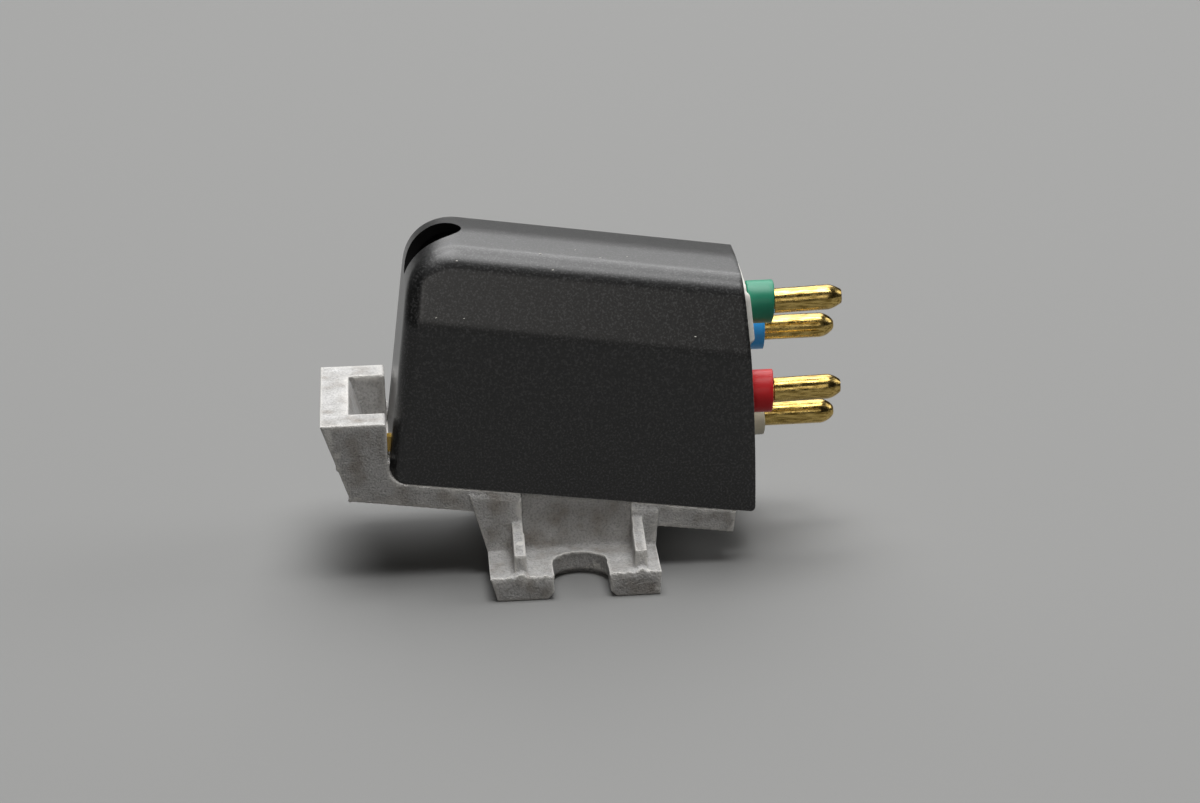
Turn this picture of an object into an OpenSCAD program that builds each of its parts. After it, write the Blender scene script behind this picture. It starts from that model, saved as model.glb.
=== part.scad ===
// Phono cartridge with a cast mounting frame, a thin metal cover and a moving coil generator.
// It lies on its mounting face: Z is up from that face, the stylus end points to -X and up,
// and the four signal pins leave to +X. All lengths are in millimetres.

/* [Mounting flanges] */
// Distance between the two mounting screws
screw_spacing = 12.7; // [12:0.1:13.5]
// Width of each open screw slot
slot_width = 2.65; // [2.5:0.05:3]
// Thickness of the flanges at the screws
flange_thick = 1.15; // [0.9:0.05:1.6]
// Width over both flanges
flange_span = 16.28; // [15.6:0.02:18]
// Length of the flanges in front of the screw line
flange_front = 4.0; // [3:0.1:5]
// Length of the flanges behind the screw line
flange_rear = 3.67; // [3:0.01:5]
// Angle by which the front ends of the flanges lean forward
front_lean = 15; // [0:1:25]
// Angle by which the rear ends of the flanges lean back
rear_lean = 5; // [0:1:12]
// Chamfer on the lower edges of the screw slots
slot_chamfer = 0.3; // [0.1:0.05:0.5]
// Width over the raised blocks that carry the flanges
block_width = 9.22; // [9:0.02:9.8]
// Depth of the screw head recess between the blocks
recess_depth = 0.5; // [0.2:0.05:0.8]
// Rounding of the long upper edges of the blocks
block_round = 0.5; // [0.2:0.05:0.8]

/* [Gussets] */
// Distance between the two gussets on one flange
gusset_spacing = 5.7; // [5:0.1:6]
// Thickness of a gusset at its foot
gusset_thick = 0.62; // [0.4:0.02:0.9]
// Draft by which a gusset is thinner along its ridge
gusset_draft = 0.14; // [0.05:0.01:0.25]
// Distance of the outer face of a gusset from the middle
gusset_reach = 7.6; // [7:0.05:7.8]
// Height of the gusset above the flange at its outer end
gusset_end = 0.9; // [0.4:0.05:1.2]
// Height of the gusset above the flange at the block
gusset_root = 1.5; // [1:0.05:2]
// Distance by which the foot of the outer end face stands out
gusset_flare = 0.06; // [0:0.01:0.15]
// Depth to which a gusset reaches into the block and the flange
gusset_bury = 0.3; // [0.1:0.05:0.4]
// Height of the low bead that runs from the gusset to the flange edge
bead_height = 0.13; // [0.05:0.01:0.25]
// Depth to which the bead reaches into the gusset and the flange
bead_bury = 0.1; // [0.05:0.01:0.2]

/* [Frame plate] */
// Tilt of the plate and cover against the mounting face
tilt = 7.6; // [0:0.1:12]
// Height of the plate top above the mounting face at the screw line
seat_height = 3.69; // [3:0.01:5]
// Thickness of the plate
plate_thick = 1.12; // [0.8:0.02:1.8]
// Distance of the rear end of the plate from the screw line
plate_rear = 7.5; // [6:0.1:8]
// Lean of the rear end of the plate
plate_end_lean = 10; // [0:1:20]

/* [Front block] */
// Distance from the front ends of the flanges to the back of the front block
nose_setback = 4.88; // [4.5:0.01:5.5]
// Height of the top of the front block above the mounting face
nose_height = 7.84; // [7:0.02:9]
// Length of the top of the front block
nose_length = 3.14; // [2.6:0.02:4]
// Lean of the front face of the block
nose_lean = 18.7; // [5:0.1:25]
// Width of the notch in the front block
notch_width = 5.7; // [4:0.1:6.5]
// Depth of the notch below the top of the block
notch_depth = 2.7; // [1.5:0.1:3]
// Thickness of the front wall of the notch
notch_wall = 1.36; // [0.9:0.02:1.8]
// Length of the level floor of the notch that is missing in front of the cover
ramp_start = 0.35; // [0.1:0.05:0.6]
// Length of the ramp behind the level floor
ramp_run = 1.35; // [1:0.05:1.6]
// Height of the ramp behind the level floor
ramp_rise = 1.1; // [0.8:0.05:1.4]

/* [Cover] */
// Height of the cover square to the plate
cover_height = 11.55; // [10.5:0.05:13]
// Width of the cover at its rim
cover_width = 9.0; // [8:0.05:10]
// Height of the soft crease in the side walls
crease_height = 7.92; // [7:0.02:8.6]
// Width of the cover at the crease
crease_width = 8.9; // [8:0.05:9.6]
// Width over the two upper corners before they are rounded
top_width = 6.6; // [5.6:0.05:7.6]
// Angle by which the top falls from its middle to both sides
crown_angle = 4; // [2:0.5:10]
// Rounding of the crown along the middle of the top
crown_round = 9; // [4:0.5:14]
// Angle by which the top and the crease fall towards the rear
top_fall = 0.86; // [0:0.02:2]
// Rounding of the crease
crease_round = 0.8; // [0.3:0.05:1.2]
// Rounding of the upper shoulders
shoulder_round = 1.5; // [1:0.05:2]
// Rounding of the edges round the front face
front_round = 0.9; // [0.6:0.05:1.1]
// Radius of the front upper corner
nose_round = 2.4; // [1.9:0.05:2.8]
// Radius of the front lower corner, shared with the frame
heel_round = 0.75; // [0.6:0.05:1.2]
// Height of the lip above that corner, which stops the front of the cover
heel_lip = 0.3; // [0.05:0.01:0.4]
// Distance by which the front of the cover reaches over the back of the front block
cover_tuck = 0.025; // [0:0.005:0.05]
// Wall thickness of the cover
cover_wall = 0.5; // [0.3:0.02:0.55]
// Length of the cover along its foot
cover_length = 17.64; // [17:0.01:19]
// Lean of the rear rim towards the front, taken from its foot to its top
rim_lean = 1.85; // [0:0.05:4]
// Distance by which the rear rim bows out halfway up
rim_bow = 0.17; // [0:0.01:0.4]
// Width of the stylus opening
opening_width = 2.9; // [2:0.05:3.6]
// Length of the stylus opening over the corner
opening_length = 3.5; // [3:0.05:4]

/* [Terminals] */
// Distance by which the board stands out of the rear rim
board_proud = 0.18; // [0:0.01:0.4]
// Height above the plate at which the full width of the board begins
board_step = 7.9; // [7:0.05:8.5]
// Gap between the narrow lower part of the board and the walls of the cover
board_inset = 1.0; // [0.1:0.05:1]
// Thickness of the terminal board
board_thick = 1.5; // [1:0.1:2]
// Diameter of the signal pins
pin_diameter = 1.2; // [1.1:0.01:1.3]
// Distance of the tips of the pins behind the foot of the board
pin_reach = 4.34; // [4:0.02:5.5]
// Distances by which the single pins reach further, for green, blue, red and white
pin_extra = [-0.03, 0.07, -0.09, 0.06];
// Length of the pin posts in front of the board
post_length = 0.9; // [0.5:0.1:1.4]
// Diameter of the posts inside the board and the sleeves
post_diameter = 0.8; // [0.6:0.05:0.85]
// Sideways distance between the two columns of pins
column_pitch = 3.8; // [3.4:0.05:4.6]
// Distance between the two pins of one column
pin_pitch = 4.45; // [4:0.05:4.6]
// Height by which the near column stands above the far one
column_offset = 2.58; // [2.2:0.02:2.8]
// Height of the lowest pin above the mounting face
lowest_pin = 5.27; // [4.8:0.01:5.6]
// Outer diameter of the colour sleeves
sleeve_diameter = 2.12; // [1.8:0.02:2.3]
// Distance of the free ends of the colour sleeves behind the foot of the board
sleeve_reach = 1.04; // [0.8:0.02:1.5]
// Distances by which the single sleeves reach further, in the same order
sleeve_extra = [0.07, 0.02, -0.03, -0.05];

/* [Generator] */
// Angle of the generator against the cover
generator_angle = 15; // [8:1:18]
// Distance of the armature behind the middle of the corner radius
armature_back = 2.6; // [2.2:0.05:3]
// Distance of the armature below the middle of the corner radius
armature_drop = 0.3; // [0.1:0.05:0.8]
// Width of the magnet and the yokes
generator_width = 4.4; // [3.6:0.1:4.8]
// Thickness of the front pole plate
front_pole_thick = 1.2; // [0.8:0.05:1.5]
// Distance from the armature to the front pole plate
front_gap = 0.8; // [0.6:0.05:1.1]
// Length of the magnet between the two yokes
magnet_length = 5.0; // [4:0.1:5.5]
// Height of the magnet
magnet_height = 3.4; // [2.4:0.1:3.6]
// Height of the yokes below the generator axis
yoke_drop = 6.0; // [5.6:0.1:6.4]
// Thickness of the rear yoke
rear_yoke_thick = 1.6; // [1.2:0.05:2]
// Distance by which the front pole stands above the arms of the coil former
pole_rise = 0.35; // [0.1:0.05:0.5]
// Diameter of the hole in the front pole
pole_hole = 1.9; // [1.4:0.05:2.4]
// Diameter of the rear pole
rear_pole_diameter = 2.2; // [1.8:0.05:2.6]
// Distance by which the rear pole stands out of the rear yoke
pole_proud = 0.3; // [0.1:0.05:0.6]
// Size over the arms of the coil former
former_size = 2.3; // [2:0.05:2.4]
// Thickness of the coil former
former_thick = 0.4; // [0.3:0.02:0.5]
// Width of the arms of the coil former
former_arm = 0.6; // [0.5:0.02:0.8]
// Depth of the windings on the arms
winding_depth = 0.16; // [0.1:0.01:0.2]
// Length of the bare ends of the former's arms
winding_stop = 0.15; // [0.05:0.01:0.3]
// Thickness of the rubber damper
damper_thick = 0.5; // [0.35:0.01:0.6]
// Outer diameter of the rubber damper
damper_diameter = 1.7; // [1.4:0.05:2]
// Diameter of the tie wire
tie_diameter = 0.12; // [0.08:0.01:0.2]
// Outer diameter of the sleeve that holds the tie wire
grip_diameter = 0.8; // [0.6:0.02:1]
// Length of the sleeve that holds the tie wire
grip_length = 3.0; // [2.4:0.1:3.4]
// Distance by which that sleeve stands out of the rear yoke
grip_proud = 0.7; // [0.4:0.05:1]
// Distance of the end of the tie wire from the end of its sleeve
wire_inset = 0.2; // [0:0.05:0.5]
// Diameter of the set screw
screw_diameter = 1.0; // [0.8:0.05:1.2]
// Outer diameter of the cantilever tube
cantilever_diameter = 0.5; // [0.4:0.02:0.6]
// Length of the cantilever that is left
stub_length = 1.1; // [0.6:0.05:1.3]
// Length of the glue that plugs the tube at the former
stub_plug = 0.2; // [0.1:0.05:0.4]
// Diameter of the lead wires
lead_diameter = 0.16; // [0.1:0.02:0.24]
// Gap between the leads and the sides of the yokes
lead_clear = 0.25; // [0.1:0.05:0.5]
// Height of the leads above and below the generator axis
lead_spread = 0.4; // [0.3:0.05:0.8]
// Length by which the leads run on behind the rear yoke
lead_over = 0.4; // [0.2:0.05:0.6]
// Straight length of a lead in front of its pin
lead_straight = 1.2; // [0.8:0.1:1.6]
// Width by which the cradle stands out on both sides of the magnet
cradle_side = 1; // [0.4:0.1:1.2]
// Height of the stop behind the rear yoke
cradle_stop = 1.2; // [0.6:0.1:2]
// Thickness of the stop at its upper end
cradle_lip = 0.8; // [0.5:0.1:1.2]
// Thickness of the stop at its foot
cradle_foot = 1.6; // [1:0.1:2]

/* [Adhesive] */
// Width of the bead of adhesive in front of the cover
glue_width = 0.55; // [0.3:0.05:0.8]
// Height of the lower end of the bead above the lip of the frame
glue_start = 0.2; // [0.02:0.02:0.4]
// Height of the bead
glue_height = 0.75; // [0.4:0.05:1]
// Distance of the bead from the rolled side edge of the cover
glue_side = 0.25; // [0.1:0.05:0.5]

/* [Clearances] */
// Gap between pieces that are glued or seated
seat_gap = 0.01; // [0.005:0.005:0.03]
// Gap round pieces that slip into one another
slip_gap = 0.03; // [0.02:0.01:0.06]

/* [Hidden] */
rise = tan(tilt);
seat_down = plate_thick / cos(tilt);
over = 1;
nose_back = -(flange_front + nose_setback);
nose_front = nose_back - nose_length;
cover_x = nose_back - cover_tuck;
cover_z = seat_height - cover_x * rise;
board_x = cover_x + (cover_length + board_proud) * cos(tilt);
end_lean = tilt + rim_lean;
pin_y = column_pitch / 2;
red_z = lowest_pin + column_offset;
green_z = red_z + pin_pitch;
blue_z = lowest_pin + pin_pitch;
pin_r = pin_diameter / 2;
post_r = post_diameter / 2;
arm_u = nose_round + armature_back;
arm_v = cover_height - nose_round - armature_drop;
front_pole_x = -front_gap - front_pole_thick;
rear_yoke_x = magnet_length - front_gap;
rear_yoke_end = rear_yoke_x + rear_yoke_thick;
damper_x = former_thick / 2 + winding_depth + 2 * seat_gap;
rear_pole_x = damper_x + damper_thick + seat_gap;
lead_x = -(former_thick / 2 + lead_diameter / 2 + slip_gap);
grip_x = rear_yoke_end - grip_length + grip_proud;
rings = 9;
arcs = 8;
wall_cuts = [1 / 3, 2 / 3];
green = 0;
blue = 1;
red = 2;
white = 3;
pin_places = [[-pin_y, green_z], [pin_y, blue_z], [-pin_y, red_z], [pin_y, lowest_pin]];

// Point on the plate top at a given distance from the screw line
function seat_at(x) = seat_height - x * rise;

// Point of the cover frame in the frame of the whole part
function from_cover(p) = [
    cover_x + p[0] * cos(tilt) + p[2] * sin(tilt),
    p[1],
    cover_z - p[0] * sin(tilt) + p[2] * cos(tilt)];

// Point of the generator frame in the frame of the whole part
function from_generator(p) = from_cover([
    arm_u + p[0] * cos(generator_angle) + p[2] * sin(generator_angle),
    p[1],
    arm_v - p[0] * sin(generator_angle) + p[2] * cos(generator_angle)]);

// Points of a fillet between the lines a to b and b to c
function fillet(a, b, c, r) =
    let (
        p = (a - b) / norm(a - b),
        q = (c - b) / norm(c - b),
        half = acos(p * q) / 2,
        m = (p + q) / norm(p + q),
        centre = b + m * r / sin(half),
        start = b + p * r / tan(half) - centre,
        end = b + q * r / tan(half) - centre,
        turn = atan2(start[0] * end[1] - start[1] * end[0], start * end)
    )
    [for (i = [0 : arcs])
        let (t = turn * i / arcs)
        centre + [start[0] * cos(t) - start[1] * sin(t), start[0] * sin(t) + start[1] * cos(t)]];

// Height of the meeting point of the two crown slopes over the rounded crown
crown_tip = crown_round * (1 / cos(crown_angle) - 1);

// Slope of the upper side walls from the upright
facet = atan2(
    crease_width / 2 - top_width / 2,
    cover_height + crown_tip - top_width / 2 * tan(crown_angle) - crease_height);

// Half of the cross-section of the cover, from the rim to the middle of the top.
// inset moves the walls inwards, top is the height of the middle and crease that of the crease.
function half_section(inset, foot, top, crease) =
    let (
        lean = atan2(cover_width / 2 - crease_width / 2, crease_height),
        crease_y = crease_width / 2 - inset,
        crease_z = crease - inset * tan(facet / 2),
        foot_y = cover_width / 2 - inset - foot * tan(lean),
        tip = top + crown_tip,
        climb = (tip - crease_z - crease_y * tan(crown_angle)) / (1 - tan(facet) * tan(crown_angle)),
        foot_p = [foot_y, foot],
        crease_p = [crease_y, crease_z],
        corner_p = [crease_y - climb * tan(facet), crease_z + climb],
        tip_p = [0, tip],
        mirror_p = [-corner_p[0], corner_p[1]],
        crown = fillet(corner_p, tip_p, mirror_p, crown_round)
    )
    concat(
        [foot_p],
        fillet(foot_p, crease_p, corner_p, max(crease_round - inset, 0.2)),
        fillet(crease_p, corner_p, tip_p, max(shoulder_round - inset, 0.4)),
        [for (i = [0 : arcs / 2 - 1]) crown[i]]);

// Closed cross-section with its left half mirrored from the right one
function full_section(inset, foot, top, crease) =
    let (h = half_section(inset, foot, top, crease), n = len(h))
    concat(h, [[0, top]], [for (i = [n - 1 : -1 : 0]) [-h[i][0], h[i][1]]]);

// The same section with two more points on each straight lower wall
function split_walls(s) =
    let (n = len(s) - 1)
    concat(
        [s[0]],
        [for (t = wall_cuts) s[0] * (1 - t) + s[1] * t],
        [for (i = [1 : n - 1]) s[i]],
        [for (t = wall_cuts) s[n - 1] * (1 - t) + s[n] * t],
        [s[n]]);

// Distance of the bowed rear rim from the front of the cover at a height above its foot
function rim_at(v) =
    cover_length - v * tan(end_lean)
        + 4 * rim_bow * v * (cover_height - v) / (cover_height * cover_height);

// Height above the foot of the cover for a height above the mounting face
function foot_height(z, u) = (z - cover_z + u * sin(tilt)) / cos(tilt);

// Place of the rear face of the board along X at a height above the mounting face
function board_face(z) =
    let (
        guess = foot_height(z, cover_length),
        v = foot_height(z, rim_at(guess) + board_proud)
    )
    cover_x + (rim_at(v) + board_proud) * cos(tilt) + v * sin(tilt);

// Start of a sleeve on the board, at the point of the board that stands out most
function sleeve_start(z) =
    max([for (end = [-1, 0, 1]) board_face(z + end * sleeve_diameter / 2)]) + seat_gap;

// Free end of a sleeve, tip and front end of a pin
function sleeve_end(i) = board_x + sleeve_reach + sleeve_extra[i];
function pin_tip(i) = board_x + pin_reach + pin_extra[i];
function post_start(i) = board_face(pin_places[i][1]) - board_thick - post_length;

// Depth that an edge of radius r loses at distance d from its end
function rolled(r, d) = d >= r ? 0 : r - sqrt(max(r * r - (r - d) * (r - d), 0));

// Distances of the rings from the front, close together where the edges roll over
function ring_steps() =
    let (first = acos(1 - front_round / nose_round))
    concat(
        [for (i = [0 : rings]) front_round * (1 - cos(90 * i / rings))],
        [for (i = [1 : rings]) nose_round * (1 - cos(first + (90 - first) * i / rings))]);

// Rings of the lofted cover, each one a cross-section at its own distance.
// The last ring follows the bowed rear rim.
function cover_rings() =
    let (
        fall = tan(top_fall),
        far = full_section(0, 0, cover_height - cover_length * fall, crease_height - cover_length * fall)
    )
    concat(
        [for (d = ring_steps())
            [for (p = split_walls(full_section(
                    rolled(front_round, d),
                    rolled(heel_round, d),
                    cover_height - d * fall - rolled(nose_round, d),
                    crease_height - d * fall)))
                [d, p[0], p[1]]]],
        [[for (p = split_walls(far))
            let (d = rim_at(p[1]))
            [d, p[0], p[1] + (p[1] == 0 ? 0 : (cover_length - d) * fall)]]]);

// Solid through closed rings of points. The last ring is closed by one flat face or,
// where it is curved in its height, by level strips between its left and right half.
module loft(layers, strips = false) {
    n = len(layers[0]);
    m = len(layers);
    last = (m - 1) * n;
    points = [for (layer = layers) for (p = layer) p];
    sides = [for (i = [0 : m - 2]) for (j = [0 : n - 1]) for (half = [0, 1])
        let (a = i * n + j, b = i * n + (j + 1) % n)
        half == 0 ? [a, b, b + n] : [a, b + n, a + n]];
    front = [for (j = [n - 1 : -1 : 0]) j];
    middle = (n - 1) / 2;
    back = strips
        ? concat(
            [for (j = [0 : middle - 2]) [last + j, last + j + 1, last + n - 2 - j, last + n - 1 - j]],
            [[last + middle - 1, last + middle, last + middle + 1]])
        : [[for (j = [0 : n - 1]) last + j]];
    polyhedron(points = points, faces = concat([front], back, sides), convexity = 4);
}

module in_cover() {
    translate([cover_x, 0, cover_z])
        rotate([0, tilt, 0])
            children();
}

module in_generator() {
    in_cover()
        translate([arm_u, 0, arm_v])
            rotate([0, generator_angle, 0])
                children();
}

// Extrudes an X-Z outline to both sides of the middle plane
module across(width) {
    rotate([90, 0, 0])
        linear_extrude(height = width, center = true)
            children();
}

// Round bar along X in the current frame
module bar(x0, x1, r) {
    translate([x0, 0, 0])
        rotate([0, 90, 0])
            cylinder(h = x1 - x0, r = r, $fn = 64);
}

// Side outline of the plate and the front block, with the round corner that the cover sits in
module frame_outline() {
    front_foot = (nose_front + (nose_height - seat_height + seat_down) * tan(nose_lean))
        / (1 - rise * tan(nose_lean));
    rear_top = plate_rear + seat_down * tan(plate_end_lean) / (1 + rise * tan(plate_end_lean));
    heel = [for (p = [[2 * heel_round, 0], [-seat_gap, 0], [-seat_gap, heel_round + heel_lip]])
        let (q = from_cover([p[0], 0, p[1]]))
        [q[0], q[2]]];
    polygon(concat(
        [[nose_front, nose_height],
            [front_foot, seat_at(front_foot) - seat_down],
            [plate_rear, seat_at(plate_rear) - seat_down],
            [rear_top, seat_at(rear_top)]],
        fillet(heel[0], heel[1], heel[2], heel_round + seat_gap),
        [heel[2],
            [nose_back, heel[2][1] + (heel[2][0] - nose_back) * rise],
            [nose_back, nose_height]]));
}

module block_outline() {
    front = -flange_front;
    rear = flange_rear;
    up_front = (front - seat_height * tan(front_lean)) / (1 - rise * tan(front_lean));
    up_rear = (rear + seat_height * tan(rear_lean)) / (1 + rise * tan(rear_lean));
    polygon([
        [front, 0],
        [rear, 0],
        [up_rear, seat_at(up_rear)],
        [up_front, seat_at(up_front)]]);
}

module flange_outline() {
    polygon([
        [-flange_front, 0],
        [flange_rear, 0],
        [flange_rear + flange_thick * tan(rear_lean), flange_thick],
        [-flange_front - flange_thick * tan(front_lean), flange_thick]]);
}

module notch() {
    run = nose_height - notch_depth;
    top_x = nose_front + notch_wall;
    across(notch_width)
        polygon([
            [top_x + notch_depth * tan(nose_lean), run],
            [top_x - over * tan(nose_lean), nose_height + over],
            [nose_back - ramp_start + ramp_run, nose_height + over],
            [nose_back - ramp_start + ramp_run, run + ramp_rise],
            [nose_back - ramp_start, run]]);
}

module screw_slot(side) {
    y = side * screw_spacing / 2;
    r = slot_width / 2;
    run = flange_span / 4;
    translate([0, y, -over])
        rotate([0, 0, side * 90])
            cylinder(h = flange_thick + 2 * over, r = r, $fn = 96);
    translate([-r, side > 0 ? y : y - run, -over])
        cube([slot_width, run, flange_thick + 2 * over]);
    translate([0, y, 0])
        rotate([0, 0, side * 90])
            cylinder(h = slot_chamfer, r1 = r + slot_chamfer, r2 = r, $fn = 96);
    for (end = [-1, 1])
        translate([end * r, side > 0 ? y : y - run, 0])
            rotate([0, 45, 0])
                translate([-slot_chamfer / sqrt(2), 0, -slot_chamfer / sqrt(2)])
                    cube([slot_chamfer * sqrt(2), run, slot_chamfer * sqrt(2)]);
}

module gusset(x, side) {
    inner = block_width / 2 - recess_depth - gusset_bury;
    slope = (gusset_root - gusset_end) / (gusset_reach - block_width / 2);
    foot = flange_thick - gusset_bury;
    intersection() {
        translate([x - gusset_thick, 0, 0])
            rotate([90, 0, 90])
                linear_extrude(height = 2 * gusset_thick)
                    polygon([
                        [side * inner, foot],
                        [side * (gusset_reach + gusset_flare), foot],
                        [side * gusset_reach, flange_thick + gusset_end],
                        [side * inner, flange_thick + gusset_end + slope * (gusset_reach - inner)]]);
        translate([x, 0, 0])
            across(4 * gusset_reach)
                polygon([
                    [-gusset_thick / 2, foot],
                    [gusset_thick / 2, foot],
                    [gusset_thick / 2 - gusset_draft / 2, flange_thick + 2 * gusset_root],
                    [-gusset_thick / 2 + gusset_draft / 2, flange_thick + 2 * gusset_root]]);
    }
}

// Low bead between the gusset and the outer edge of the flange
module edge_bead(x, side) {
    r = (gusset_thick * gusset_thick / 4 + bead_height * bead_height) / (2 * bead_height);
    y0 = gusset_reach - bead_bury;
    y1 = flange_span / 2;
    intersection() {
        translate([x, side > 0 ? y1 : -y0, flange_thick + bead_height - r])
            rotate([90, 0, 0])
                cylinder(h = y1 - y0, r = r, $fn = 64);
        translate([x - r, side > 0 ? y0 : -y1, flange_thick - 2 * bead_bury])
            cube([2 * r, y1 - y0, 2 * bead_bury + bead_height]);
    }
}

// Rounded upper edge of the raised blocks, cut along the tilted plate
module block_edge(side) {
    y = block_width / 2;
    in_cover()
        translate([0, side * y, 0])
            difference() {
                translate([0, -block_round, -block_round])
                    cube([cover_length, 2 * block_round, 2 * block_round]);
                translate([-over, -side * block_round, -block_round])
                    rotate([0, 90, 0])
                        cylinder(h = cover_length + 2 * over, r = block_round, $fn = 64);
                translate([-over, side > 0 ? -2 * block_round : block_round, -block_round])
                    cube([cover_length + 2 * over, block_round, 3 * block_round]);
            }
}

module mounting_frame() {
    color([0.62, 0.61, 0.60])
        difference() {
            union() {
                across(cover_width)
                    frame_outline();
                difference() {
                    across(block_width)
                        block_outline();
                    block_edge(1);
                    block_edge(-1);
                }
                across(flange_span)
                    flange_outline();
                for (side = [-1, 1])
                    for (x = [-gusset_spacing / 2, gusset_spacing / 2]) {
                        gusset(x, side);
                        edge_bead(x, side);
                    }
            }
            notch();
            for (side = [-1, 1]) {
                screw_slot(side);
                translate([
                    -gusset_spacing / 2 + gusset_thick / 2 - gusset_draft / 2,
                    side > 0 ? block_width / 2 - recess_depth : -block_width / 2 - over,
                    flange_thick])
                    cube([
                        gusset_spacing - gusset_thick + gusset_draft,
                        recess_depth + over,
                        seat_height]);
            }
        }
}

// Opening for the stylus, an obround hole square to the front upper corner
module stylus_opening() {
    half = (opening_length - opening_width) / 2;
    in_cover()
        translate([nose_round, 0, cover_height - nose_round])
            rotate([0, -45, 0]) {
                for (end = [-1, 1])
                    translate([end * half, 0, 0])
                        cylinder(h = 3 * nose_round, r = opening_width / 2, $fn = 48);
                translate([-half, -opening_width / 2, 0])
                    cube([2 * half, opening_width, 3 * nose_round]);
            }
}

// Long prism with the cross-section of the cover, moved inwards and falling with its top
module section_prism(inset) {
    far = cover_length + 2 * over;
    rotate([0, top_fall, 0])
        rotate([90, 0, 90])
            linear_extrude(height = far)
                polygon(full_section(inset, -2 * over, cover_height - inset, crease_height));
}

// Hollow of the cover, open below and at the rear
module cover_hollow() {
    far = cover_length + 3 * over;
    top = cover_height - cover_wall;
    drop = nose_round * tan(top_fall);
    corner = fillet(
        [cover_wall, -over],
        [cover_wall, top - drop],
        [far, top - drop],
        nose_round - cover_wall);
    in_cover()
        intersection() {
            section_prism(cover_wall);
            across(2 * cover_width)
                polygon(concat(
                    [[cover_wall, -2 * over]],
                    [for (i = [0 : arcs - 1]) corner[i]],
                    [[nose_round, top + over], [far, top + over], [far, -2 * over]]));
        }
}

module body_cover() {
    color([0.08, 0.08, 0.08])
        difference() {
            in_cover()
                translate([0, 0, seat_gap])
                    loft(cover_rings(), true);
            cover_hollow();
            stylus_opening();
        }
}

// Side outline of the terminal board, with a rear face that follows the bowed rim
module board_outline() {
    foot = seat_gap;
    top = cover_height;
    polygon(concat(
        [[cover_length + board_proud - board_thick - foot * tan(end_lean), foot]],
        [for (i = [0 : 2 * arcs])
            let (v = foot + (top - foot) * i / (2 * arcs))
            [rim_at(v) + board_proud, v]],
        [[cover_length + board_proud - board_thick - top * tan(end_lean), top]]));
}

module board_shape() {
    low_y = cover_width / 2 - cover_wall - board_inset;
    difference() {
        intersection() {
            section_prism(cover_wall + slip_gap);
            across(2 * cover_width)
                board_outline();
        }
        for (side = [-1, 1])
            translate([0, side > 0 ? low_y : -low_y - cover_width, -over])
                cube([2 * cover_length, cover_width, board_step + over]);
    }
}

module terminal_board() {
    color([0.93, 0.91, 0.86])
        difference() {
            in_cover()
                board_shape();
            for (p = pin_places)
                translate([0, p[0], p[1]])
                    bar(board_x - board_thick - 2 * over, board_x + over, post_r + seat_gap);
        }
}

// Signal pin with a thin post through the board and its sleeve and a domed tip
module pin(i) {
    shoulder = sleeve_end(i) + seat_gap;
    dome = pin_tip(i) - pin_r;
    color([0.83, 0.62, 0.22])
        translate([0, pin_places[i][0], pin_places[i][1]]) {
            bar(post_start(i), shoulder, post_r);
            bar(shoulder, dome, pin_r);
            translate([dome, 0, 0])
                rotate([0, 90, 0])
                    sphere(r = pin_r, $fn = 64);
        }
}

module sleeve(i) {
    z = pin_places[i][1];
    translate([0, pin_places[i][0], z])
        difference() {
            bar(sleeve_start(z), sleeve_end(i), sleeve_diameter / 2);
            bar(sleeve_start(z) - over, sleeve_end(i) + over, post_r + seat_gap);
        }
}

module pin_green() {
    pin(green);
}

module pin_blue() {
    pin(blue);
}

module pin_red() {
    pin(red);
}

module pin_white() {
    pin(white);
}

module sleeve_green() {
    color([0.05, 0.30, 0.18])
        sleeve(green);
}

module sleeve_blue() {
    color([0.05, 0.25, 0.65])
        sleeve(blue);
}

module sleeve_red() {
    color([0.70, 0.04, 0.06])
        sleeve(red);
}

module sleeve_white() {
    color([0.85, 0.80, 0.66])
        sleeve(white);
}

// Plate of the magnet circuit, flat below and round above the axis
module yoke_plate(x0, x1) {
    r = generator_width / 2;
    low = -yoke_drop;
    arch = r + pole_rise - former_size / 2;
    translate([0, 0, -arch])
        bar(x0, x1, r);
    translate([x0, -r, low])
        cube([x1 - x0, generator_width, yoke_drop - arch]);
}

module front_pole() {
    color([0.45, 0.45, 0.47])
        in_generator()
            difference() {
                yoke_plate(front_pole_x, -front_gap - seat_gap);
                bar(front_pole_x - over, 0, pole_hole / 2);
            }
}

module rear_yoke() {
    color([0.45, 0.45, 0.47])
        in_generator()
            difference() {
                yoke_plate(rear_yoke_x + seat_gap, rear_yoke_end);
                bar(rear_yoke_x - over, rear_yoke_end + over, rear_pole_diameter / 2 + seat_gap);
                translate([rear_yoke_x + rear_yoke_thick / 2, 0, 0])
                    rotate([90, 0, 0])
                        cylinder(h = generator_width, r = screw_diameter / 2 + seat_gap, $fn = 48);
            }
}

module rear_pole() {
    color([0.52, 0.52, 0.54])
        in_generator()
            difference() {
                bar(rear_pole_x, rear_yoke_end + pole_proud, rear_pole_diameter / 2);
                bar(rear_pole_x - over, rear_yoke_end + over, tie_diameter / 2 + slip_gap);
                bar(grip_x - seat_gap, rear_yoke_end + over, grip_diameter / 2 + seat_gap);
                translate([rear_yoke_x + rear_yoke_thick / 2, 0, 0])
                    rotate([90, 0, 0])
                        cylinder(h = generator_width, r = screw_diameter / 2 + seat_gap, $fn = 48);
            }
}

module suspension_sleeve() {
    color([0.72, 0.56, 0.25])
        in_generator()
            difference() {
                bar(grip_x, grip_x + grip_length, grip_diameter / 2);
                bar(grip_x - over, grip_x + grip_length + over, tie_diameter / 2 + seat_gap);
            }
}

module tie_wire() {
    color([0.75, 0.75, 0.78])
        in_generator()
            bar(-former_thick / 2, grip_x + grip_length - wire_inset, tie_diameter / 2);
}

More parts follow.
